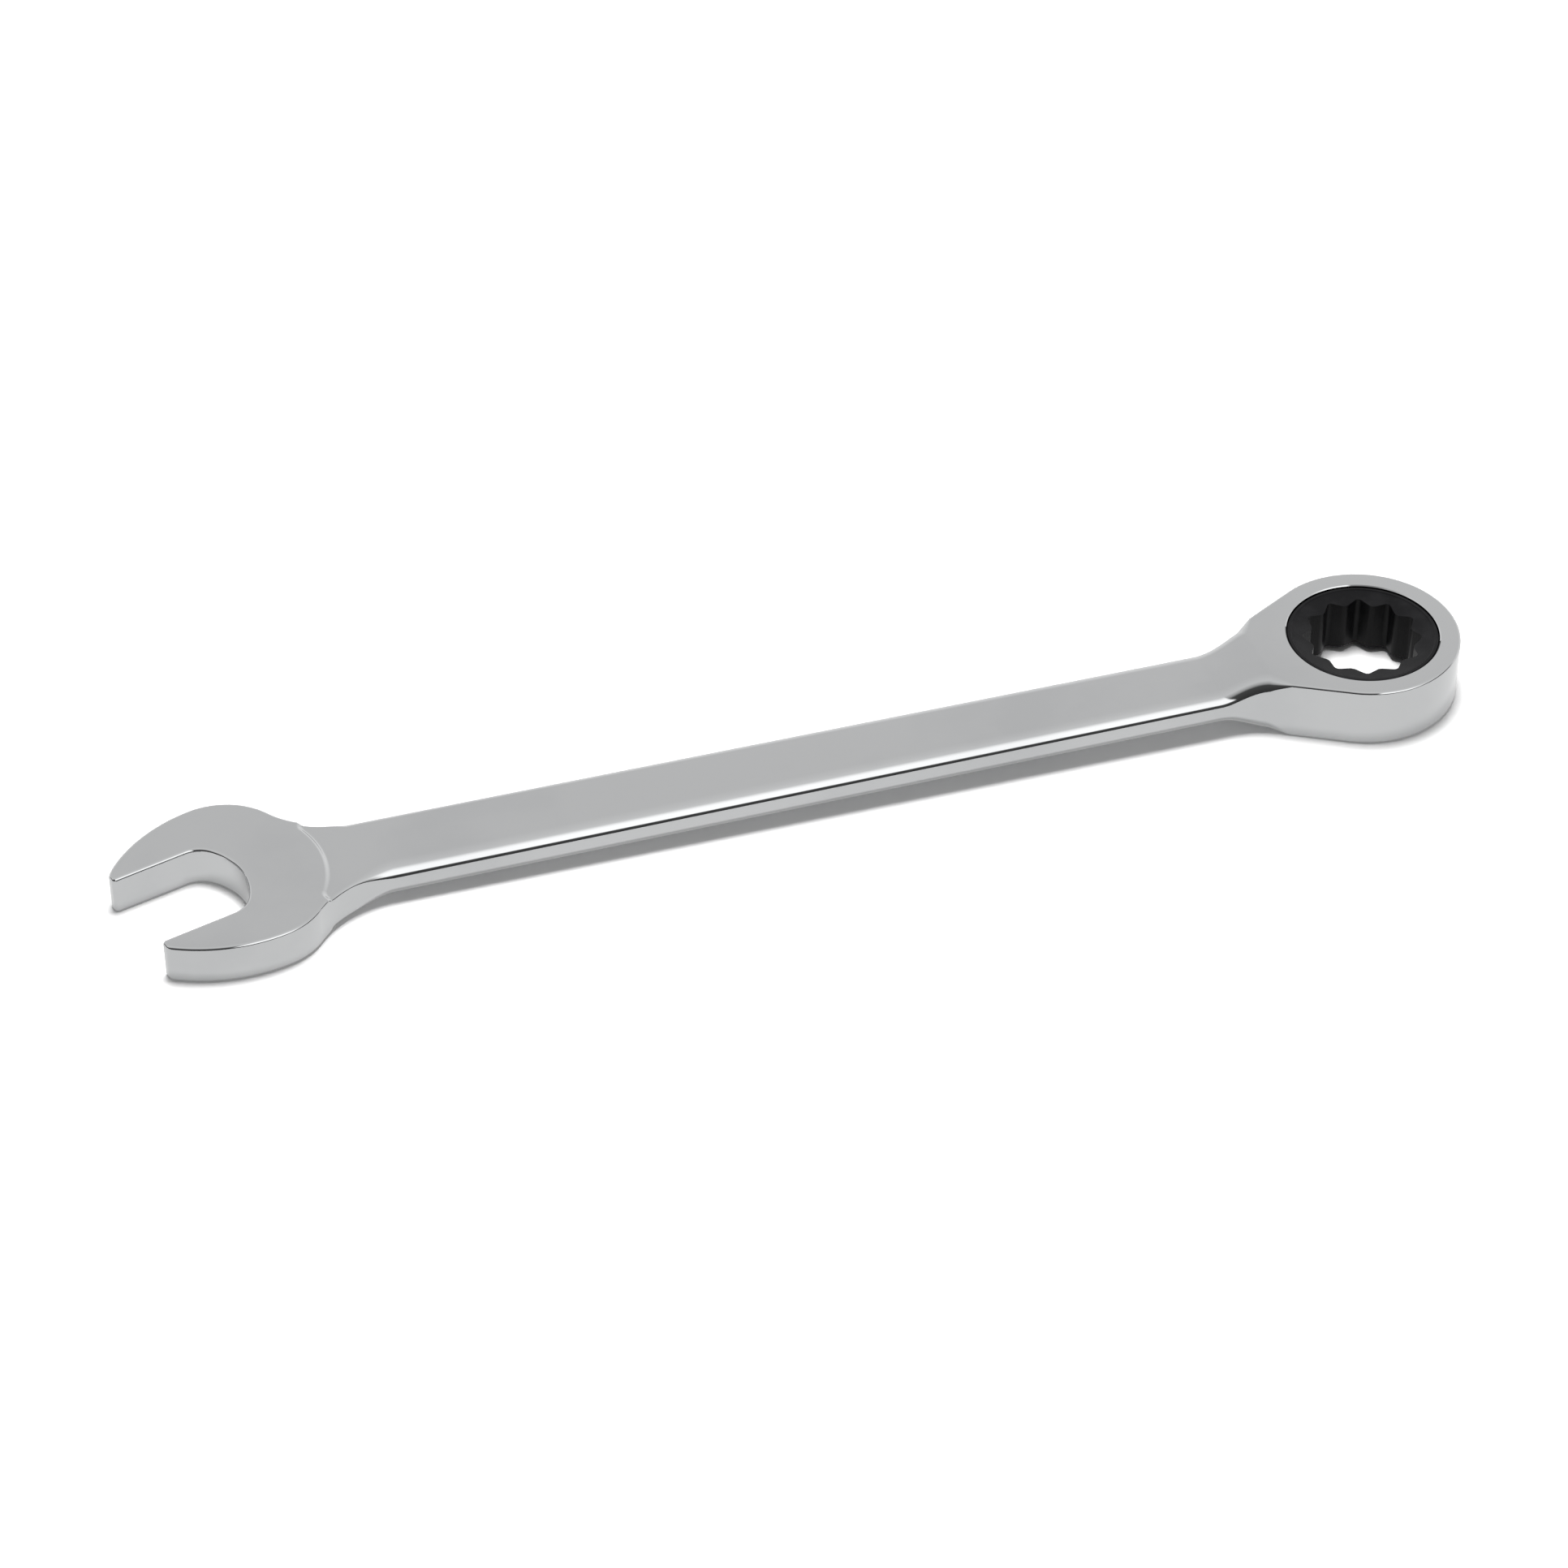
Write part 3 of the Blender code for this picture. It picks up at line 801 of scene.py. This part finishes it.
    def half_thickness(self, point: Vector) -> float:
        """Give half the thickness at a point in plan."""
        from_middle = point.xy - self.from_jaw(self.disc_s, 0)
        off_disc = from_middle.length - self.disc_radius - self.spread(from_middle.y)
        head = 1 - smoothed(off_disc, -self.disc_step / 2, self.disc_step / 2)
        neck = smoothed(point.x, *self.before_ring(self.ramp_reach))
        over_jaw = head * (self.jaw_thickness - self.shank_thickness)
        over_ring = neck * (self.ring_thickness - self.shank_thickness)
        return (self.shank_thickness + over_jaw + over_ring) / 2

    def edge_radius(self, point: Vector) -> float:
        """Give the edge's radius at a point in plan: full on the shank, small on both heads."""
        jaw = 1 - smoothed(point.x, *self.before_ring(self.jaw_runout_reach))
        ring = ramped(point.x, *self.before_ring(self.runout_reach))
        return self.shank_edge * (1 - jaw - ring) + self.jaw_edge * jaw + self.ring_edge * ring

    def edge_level(self, points: Line, side: int, angle: float) -> list[Vector]:
        """Give the outline stepped in round an edge.

        Args:
            points: The plan outline.
            side: 1 for the top edge and -1 for the bottom one.
            angle: 0 on the side wall and 90 on the flat face.

        Returns:
            A place for each point of the outline.
        """
        turn = math.radians(angle)
        level = []
        for i, point in enumerate(points):
            before = (point - points[i - 1]).normalized()
            after = (points[(i + 1) % len(points)] - point).normalized()
            run = (before + after).normalized()
            radius = self.edge_radius(point)
            place = point - Vector((run.y, -run.x)) * radius * (1 - math.cos(turn))
            rise = self.half_thickness(place) - radius * (1 - math.sin(turn))
            level.append(Vector((place.x, place.y, self.mid_height + side * rise)))
        return level

    def disc_contour(self, off: float) -> list[Vector]:
        """Give the line that runs at a distance off the jaw's raised disc, on the shank's side."""
        points = []
        for angle in evenly(*self.step_line_turn, self.step_line_points):
            radius = self.disc_radius
            for _ in range(self.contour_rounds):
                across = radius * math.sin(math.radians(angle))
                radius = self.disc_radius + off + self.spread(across)
            points.append(on_circle(self.from_jaw(self.disc_s, 0), radius, angle))
        return points

    def height_lines(self) -> list[list[Vector]]:
        """Give the lines along which a face's height changes: across the neck and round the jaw's disc."""
        guard = self.flat_guard
        start, end = self.before_ring(self.ramp_reach)
        stations = (start - guard, *evenly(start, end, self.ramp_lines), end + guard)
        across = evenly(-self.ring_radius, self.ring_radius, self.ramp_line_points)
        half = self.disc_step / 2
        steps = (-half - guard, *evenly(-half, half, self.step_lines), half + guard)
        return [
            *[[Vector((x, y)) for y in across] for x in stations],
            *[self.disc_contour(off) for off in steps],
        ]

    def fill_face(self, obj: Object, level: int, side: int) -> None:
        """Fill one flat face of the forging with triangles that follow its height.

        Args:
            obj: The forging, in edit mode.
            level: The number of the loop to fill.
            side: 1 for the top and -1 for the underside.
        """
        mesh = bmesh.from_edit_mesh(obj.data)
        station, height = mesh.verts.layers.int["station"], mesh.verts.layers.int["level"]
        rim = sorted((v for v in mesh.verts if v[height] == level), key=lambda v: v[station])
        points = [vert.co.xy for vert in rim]
        edges: list[tuple[int, int]] = []
        for line in self.height_lines():
            first = len(points)
            points.extend(inside(line, points[: len(rim)], self.rim_margin))
            edges.extend((k, k + 1) for k in range(first, len(points) - 1))
        keep_inside, tolerance = 1, 1e-9
        flat = delaunay_2d_cdt(points, edges, [list(range(len(rim)))], keep_inside, tolerance)
        verts = []
        for point, sources in zip(flat[0], flat[3]):
            on_rim = [k for k in sources if k < len(rim)]
            if on_rim:
                verts.append(rim[on_rim[0]])
            else:
                z = self.mid_height + side * self.half_thickness(point)
                verts.append(mesh.verts.new((point.x, point.y, z)))
        for face in flat[2]:
            mesh.faces.new([verts[k] for k in face])
        bmesh.update_edit_mesh(obj.data)

    def blank(self) -> Object:
        """Extrude the outline up round both edges and fill both faces."""
        points = self.outline()
        angles = [90 * eased(share) for share in evenly(0, 1, self.edge_steps + 1)]
        levels = [self.edge_level(points, -1, angle) for angle in reversed(angles)]
        levels += [self.edge_level(points, 1, angle) for angle in angles]
        obj = open_loop("forged_body", levels[0])
        bmesh.from_edit_mesh(obj.data).verts.layers.int.new("level")
        for number, level in enumerate(levels[1:], 1):
            extrude_to(obj, level, number)
        self.fill_face(obj, 0, -1)
        self.fill_face(obj, len(levels) - 1, 1)
        face_outwards()
        return obj

    def bore_cutter(self) -> Object:
        """Make the solid that the bore takes away: lip, bore and the split ring's groove."""
        past = self.bore_chamfer + self.cut_past
        lip, bore, groove, top = self.lip_radius, self.bore_radius, self.groove_radius, self.ring_thickness
        profile = [
            (0, top + self.cut_past),
            (lip + past, top + self.cut_past),
            (lip, top - self.bore_chamfer),
            (lip, self.lip_underside),
            (bore, self.lip_underside),
            (bore, self.groove_high),
            (groove, self.groove_high),
            (groove, self.groove_low),
            (bore, self.groove_low),
            (bore, self.bore_chamfer),
            (bore + past, -self.cut_past),
            (0, -self.cut_past),
        ]
        return turned("bore_cutter", profile, self.ring_x)

    def pocket_cutter(self) -> Object:
        """Make the solid that the pawl's pocket takes away, open into the bore."""
        front, back = self.before_ring((self.pocket_front, self.pocket_back))
        half = self.pocket_half_width
        mouth = [Vector((front, -half)), Vector((front, half))]
        outline = without_repeats([*mouth, *square_back(back, half, self.pocket_corner)])
        return prism("pocket_cutter", outline, self.pocket_low, self.pocket_high)

    def spring_hole_cutter(self) -> Object:
        """Make the solid that the spring's blind hole takes away."""
        start, end = self.before_ring((self.spring_hole_start, self.spring_hole_end))
        return start_from(
            bpy.ops.mesh.primitive_cylinder_add,
            "spring_hole_cutter",
            vertices=48,
            radius=self.spring_hole_radius,
            depth=start - end,
            location=((start + end) / 2, 0, self.mid_height),
            rotation=(0, math.radians(90), 0),
        )

    def build(self, chrome: Material) -> Object:
        """Build the forging in its finish."""
        obj = self.blank()
        for cutter in (self.bore_cutter(), self.pocket_cutter(), self.spring_hole_cutter()):
            combine(obj, cutter)
        shade(obj, angle=24)
        return hand_over(obj, "wrench_body", Rides.BODY, chrome)


# ---- The ratchet ----


@dataclass(frozen=True)
class ToothForm:
    """The gear's outside teeth, which the pawl's fit between. Half flats are shares of the pitch."""

    count: int = 72
    tip_radius: float = 0.01095
    root_radius: float = 0.0105
    half_tip: float = 0.08
    half_root: float = 0.12


@dataclass
class RatchetGear:
    """The black gear: a twelve-point opening, a countersink at each mouth and a band of outside teeth."""

    ring_x: float
    low: float
    high: float
    form: ToothForm = ToothForm()
    flute_radius: float = 0.0006
    flute_center_radius: float = 0.0072
    ridge_radius: float = 0.0010
    opening_turn: float = 11.5
    opening_points: int = 12
    cut_past: float = 0.001
    teeth_low: float = 0.0015
    teeth_high: float = 0.0069
    hub_radius: float = 0.00985
    rim_rounding: float = 0.00012
    countersink_radius: float = 0.0094
    countersink_depth: float = 0.00065
    countersink_end: float = 0.0066
    mouth_share: float = 0.4
    corner_share: float = 0.3

    def blank(self) -> Object:
        """Turn the hub with a countersink sunk into each end."""
        high, hub, mouth, soft = self.high, self.hub_radius, self.countersink_radius, self.rim_rounding
        floor, corner = high - self.countersink_depth, soft * self.corner_share
        half = [
            (0.0, floor),
            (self.countersink_end, floor),
            (mouth - soft, high - soft),
            (mouth + soft * self.mouth_share, high),
            (hub - soft, high),
            (hub - corner, high - corner),
            (hub, high - soft),
        ]
        mirrored = [(radius, self.low + high - height) for radius, height in reversed(half)]
        return turned("twelve_point_gear", [*half, *mirrored], self.ring_x)

    def opening(self) -> list[Vector]:
        """Give the twelve-point opening: round flutes, with flat flanks up to the rounded ridges."""
        half_pitch = 180 / self.opening_points
        flute = Vector((self.flute_center_radius, 0))
        ridge_reach = ACROSS_FLATS / 2 / math.cos(math.radians(half_pitch)) + self.ridge_radius
        ridge = on_circle((0, 0), ridge_reach, half_pitch)
        leans = math.degrees(math.acos((self.flute_radius + self.ridge_radius) / (ridge - flute).length))
        flute_half = heading(flute, ridge) - leans
        ridge_half = flute_half - half_pitch
        center = (self.ring_x, 0)
        points = []
        for i in range(self.opening_points):
            turn = self.opening_turn + 2 * half_pitch * i
            flute = on_circle(center, self.flute_center_radius, turn)
            points.extend(arc(flute, self.flute_radius, turn - flute_half, turn + flute_half, step=7))
            ridge = on_circle(center, ridge_reach, turn + half_pitch)
            inwards = turn + half_pitch + 180
            points.extend(arc(ridge, self.ridge_radius, inwards + ridge_half, inwards - ridge_half, step=6))
        return without_repeats(points)

    def tooth_band(self) -> list[Vector]:
        """Give a circle of gear teeth with flat tips and roots, a root facing the pawl's middle."""
        form = self.form
        corners = (
            (form.half_root, form.root_radius),
            (0.5 - form.half_tip, form.tip_radius),
            (0.5 + form.half_tip, form.tip_radius),
            (1 - form.half_root, form.root_radius),
        )
        return [
            on_circle((self.ring_x, 0), radius, (i + share) * (360 / form.count))
            for i in range(form.count)
            for share, radius in corners
        ]

    def build(self, black: Material) -> Object:
        """Build the gear in its finish."""
        gear = self.blank()
        combine(gear, prism("teeth", self.tooth_band(), self.teeth_low, self.teeth_high), "UNION")
        combine(gear, prism("opening", self.opening(), self.low - self.cut_past, self.high + self.cut_past))
        shade(gear, angle=20)
        return hand_over(gear, "ratchet_gear", Rides.GEAR, black)


@dataclass
class SplitRing:
    """The split ring that holds the gear in from below."""

    ring_x: float
    low: float
    high: float
    inner: float = 0.01015
    outer: float = 0.01185
    gap: float = 26.0
    gap_at: float = 90.0
    edge: float = 0.00012
    steps: int = 144

    def build(self, steel: Material) -> Object:
        """Round a small section, spin it round to the gap and close its ends."""
        start = self.gap_at + self.gap / 2
        middle = on_circle((self.ring_x, 0), (self.inner + self.outer) / 2, start)
        ring = start_from(
            bpy.ops.mesh.primitive_plane_add,
            "split_ring",
            size=1,
            location=(middle.x, middle.y, (self.low + self.high) / 2),
            rotation=(math.radians(90), 0, math.radians(start)),
        )
        ring.scale = (self.outer - self.inner, self.high - self.low, 1)
        bpy.ops.object.transform_apply()
        edit(ring)
        bpy.ops.mesh.bevel(offset=self.edge, segments=3, affect="VERTICES")
        bpy.ops.mesh.select_all(action="SELECT")
        bpy.ops.mesh.delete(type="ONLY_FACE")
        bpy.ops.mesh.select_all(action="SELECT")
        bpy.ops.mesh.spin(
            steps=self.steps,
            angle=-math.radians(360 - self.gap),
            center=(self.ring_x, 0, 0),
            axis=(0, 0, 1),
        )
        bpy.ops.mesh.select_all(action="SELECT")
        bpy.ops.mesh.fill_holes(sides=0)
        face_outwards()
        shade(ring, angle=35)
        return hand_over(ring, "retaining_ring", Rides.BODY, steel)


@dataclass
class Pawl:
    """The toothed block that locks the gear."""

    ring_x: float
    low: float
    high: float
    half_width: float = 0.0036
    back: float = 0.0150
    mesh_gap: float = 0.00012
    teeth: int = 7
    form: ToothForm = ToothForm()
    shoulder_gap: float = 0.0003
    shoulder_depth: float = 0.0004
    corner: float = 0.0008
    edge: float = 0.00006

    def outline(self) -> list[Vector]:
        """Give the plan outline: teeth that fit the gear's spaces, and a plain back with eased corners."""
        form, half = self.form, self.half_width
        pitch = 360 / form.count
        tip, root = form.root_radius + self.mesh_gap, form.tip_radius + self.mesh_gap
        half_space = 0.5 - form.half_root
        corners = ((-half_space, root), (-form.half_tip, tip), (form.half_tip, tip), (half_space, root))
        teeth = []
        for i in range(self.teeth):
            middle = 180 + (i - (self.teeth - 1) / 2) * pitch
            for share, radius in corners:
                teeth.append(on_circle((self.ring_x, 0), radius, middle + share * pitch))
        shoulder = math.sqrt((form.tip_radius + self.shoulder_gap) ** 2 - half**2) + self.shoulder_depth
        return [
            Vector((self.ring_x - shoulder, half)),
            *square_back(self.ring_x - self.back, half, self.corner),
            Vector((self.ring_x - shoulder, -half)),
            *reversed(teeth),
        ]

    def build(self, black: Material) -> Object:
        """Build the pawl in its finish."""
        pawl = prism("toothed_pawl", without_repeats(self.outline()), self.low, self.high)
        soften(pawl, self.edge, segments=2, angle=40)
        shade(pawl, angle=35)
        return hand_over(pawl, "pawl", Rides.PAWL, black)


@dataclass
class CoilSpring:
    """The coil spring behind the pawl, with its axis along X."""

    start: Vector
    end: Vector
    travel: float
    wire_radius: float = 0.00015
    turns: int = 7
    steps: int = 32

    def build(self, steel: Material) -> Object:
        """Wind the wire with a screw and close its ends."""
        middle = (self.start + self.end) / 2
        radius = (self.end.z - self.start.z) / 2 - self.wire_radius
        low, high = self.start.x + self.wire_radius, self.end.x - self.wire_radius
        coil = start_from(
            bpy.ops.mesh.primitive_circle_add,
            "coil_spring",
            vertices=12,
            radius=self.wire_radius,
            location=(low, middle.y, middle.z + radius),
            rotation=(math.radians(90), 0, 0),
        )
        bpy.context.scene.cursor.location = (low, middle.y, middle.z)
        bpy.ops.object.origin_set(type="ORIGIN_CURSOR")
        bpy.ops.object.transform_apply(location=False)
        screw = coil.modifiers.new("winding", "SCREW")
        screw.axis = "X"
        screw.iterations = self.turns
        screw.screw_offset = (high - low) / self.turns
        screw.steps = screw.render_steps = self.steps
        bpy.ops.object.modifier_apply(modifier=screw.name)
        edit(coil)
        bpy.ops.mesh.fill_holes(sides=0)
        face_outwards()
        shade(coil, angle=50)
        hand_over(coil, "pawl_spring", Rides.BODY, steel)
        length = self.end.x - self.start.x
        (length - self.travel) / length
        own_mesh(coil)
        return coil


# ---- The studio ----


@dataclass
class Studio:
    """A pale table under a lamp, a tent of soft light round it, and the camera.

    The tent's light goes by the angle up from the horizon beyond the wrench, over to the camera's side.
    """

    azimuth: float = -17.7
    elevation: float = 40.06
    distance: float = 0.6113
    target: Triple = (-0.0049, -0.0062, 0.0082)
    lens: float = 111.8

    table_size: float = 0.66
    table_gap: float = 0.00002
    table_color: Triple = (0.80, 0.80, 0.80)
    table_glare: float = 1.3
    reflected_light: float = 0.92
    reflected_evenness: float = 0.50
    heel_x: float = 0.0636
    toe_x: float = -0.085
    toe_height: float = 0.00145

    beyond: Pairs = ((0, 1.15), (25, 1.00), (40, 0.86), (76, 0.93))
    room: Pairs = ((104, 1.00), (122, 0.60), (134, 0.10), (180, 0.05))
    softbox: Pairs = ((104, 1.05), (118, 1.70), (126, 1.90), (154, 1.90), (159, 0.10), (180, 0.05))
    softbox_low: Span = (0.20, 0.30)
    softbox_high: Span = (0.66, 1.00)
    brightest: float = 2.0
    side_dark: Span = (0.93, 0.97)
    side_dark_top: Span = (0.42, 0.50)
    side_depth: float = 0.95
    fill: float = 0.30

    lamp_power: float = 12.0
    lamp_place: Triple = (0.04, 0.13, 1.0)
    lamp_size: float = 0.34

    def towards_camera(self) -> Vector:
        """Give the direction from the wrench to the camera."""
        a, e = math.radians(self.azimuth), math.radians(self.elevation)
        return Vector((math.sin(a) * math.cos(e), -math.cos(a) * math.cos(e), math.sin(e)))

    @staticmethod
    def hang(data: bpy.types.ID, place: Vector, forward: Vector) -> Object:
        """Put a camera or a lamp in the scene.

        Args:
            data: The camera or the lamp.
            place: Where it hangs.
            forward: The direction that it looks in.

        Returns:
            Its object.
        """
        obj = bpy.data.objects.new(data.name, data)
        bpy.context.scene.collection.objects.link(obj)
        obj.location = place
        obj.rotation_mode = "QUATERNION"
        obj.rotation_quaternion = forward.to_track_quat("-Z", "Y")
        return obj

    def add_camera(self) -> None:
        """Place the camera."""
        data = bpy.data.cameras.new("camera")
        data.lens = self.lens
        data.clip_start = 0.01
        back = self.towards_camera()
        bpy.context.scene.camera = self.hang(data, Vector(self.target) + back * self.distance, -back)

    def add_table(self) -> None:
        """Lay the table so that it touches the ring's underside and the open end's."""
        slope = self.toe_height / (self.heel_x - self.toe_x)
        add_grid = bpy.ops.mesh.primitive_grid_add
        table = start_from(add_grid, "table", x_subdivisions=8, y_subdivisions=8, size=self.table_size)
        for vert in table.data.vertices:
            vert.co.z = (self.heel_x - vert.co.x) * slope - self.table_gap
        material, graph = new_material("white_table")
        glare = tuple(value * self.table_glare for value in self.table_color)
        color = graph.blend(graph.ray_is("Camera"), self.table_color, glare)
        lit = graph.add("BsdfDiffuse", None, {"Color": color})
        even = graph.add("Emission", None, {"Color": WHITE, "Strength": self.reflected_light})
        reflected = graph.ray_is("Glossy") * self.reflected_evenness
        shader = graph.add("MixShader", None, {0: reflected, 1: lit, 2: even})
        graph.add("OutputMaterial", None, {"Surface": shader})
        table.data.materials.append(material)

    def tent(self, graph: Graph) -> Signal:
        """Give the soft light round the wrench, as its steel reflects it.

        Args:
            graph: The world's graph.

        Returns:
            The light's strength in each direction.
        """
        ray = graph.add("TexCoord", output="Generated")
        back = self.towards_camera().xy.normalized()
        away, sideways = graph.along(ray, -back.x, -back.y), graph.along(ray, -back.y, back.x)
        up = graph.add("SeparateXYZ", None, {"Vector": ray}, "Z")
        over = graph.maths("ARCTAN2", up, away) * (1 / math.pi)
        lights = []
        for nearer in (self.room, self.softbox):
            stops = [(angle / 180, light / self.brightest) for angle, light in (*self.beyond, *nearer)]
            lights.append(graph.add("ValToRGB", {"stops": stops}, {"Fac": over}) * self.brightest)
        room, softbox = lights
        share = graph.rise(sideways, *self.softbox_low) - graph.rise(sideways, *self.softbox_high)
        aside = graph.maths("ABSOLUTE", sideways)
        dark = graph.rise(aside, *self.side_dark) * (1.0 - graph.rise(up, *self.side_dark_top))
        return (room + share * (softbox - room)) * (1.0 - self.side_depth * dark)

    def add_surroundings(self) -> None:
        """Make the room: white to look at, and a tent of soft light for the steel to reflect."""
        world = bpy.data.worlds.new("studio")
        bpy.context.scene.world = world
        world.use_nodes = True
        graph = Graph(world.node_tree)
        strength = self.tent(graph) * (1.0 - graph.ray_is("Diffuse") * (1.0 - self.fill))
        seen = strength + graph.ray_is("Camera") * (1.0 - strength)
        background = graph.add("Background", None, {"Color": WHITE, "Strength": seen})
        graph.add("OutputWorld", None, {"Surface": background})

    def add_lamp(self) -> None:
        """Hang a lamp over the far side for the table's shadows."""
        data = bpy.data.lights.new("overhead_lamp", "AREA")
        data.size = self.lamp_size
        data.energy = self.lamp_power
        place = Vector(self.lamp_place)
        self.hang(data, place, -place).visible_glossy = False

    def build(self) -> None:
        """Set the studio up."""
        self.add_camera()
        self.add_table()
        self.add_surroundings()
        self.add_lamp()
        bpy.context.scene.view_settings.view_transform = "Standard"


def main() -> None:
    """Build the looks of each piece round the frame."""
    logging.basicConfig(level=logging.INFO, format="%(name)s: %(message)s")
    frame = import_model()
    gear_low, gear_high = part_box("ratchet_gear")
    ring_x = (gear_low.x + gear_high.x) / 2
    chrome = PolishedChrome().make()
    black = BlackOxide(ring_x).make()
    steel = SpringSteel().make()
    clip_low, clip_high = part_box("retaining_ring")
    pawl_low, pawl_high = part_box("pawl")
    slide = next(joint for joint in frame["joints"] if joint["name"] == "pawl_slide")
    pieces = (
        Forging(ring_x).build(chrome),
        RatchetGear(ring_x, gear_low.z, gear_high.z).build(black),
        SplitRing(ring_x, clip_low.z, clip_high.z).build(steel),
        Pawl(ring_x, pawl_low.z, pawl_high.z).build(black),
        CoilSpring(*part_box("pawl_spring"), travel=slide["range_m"][1]).build(steel),
    )
    for piece in pieces:
        LOG.info("%s: %d faces", piece.name, len(piece.data.polygons))
    Studio().build()


if __name__ == "__main__":
    main()
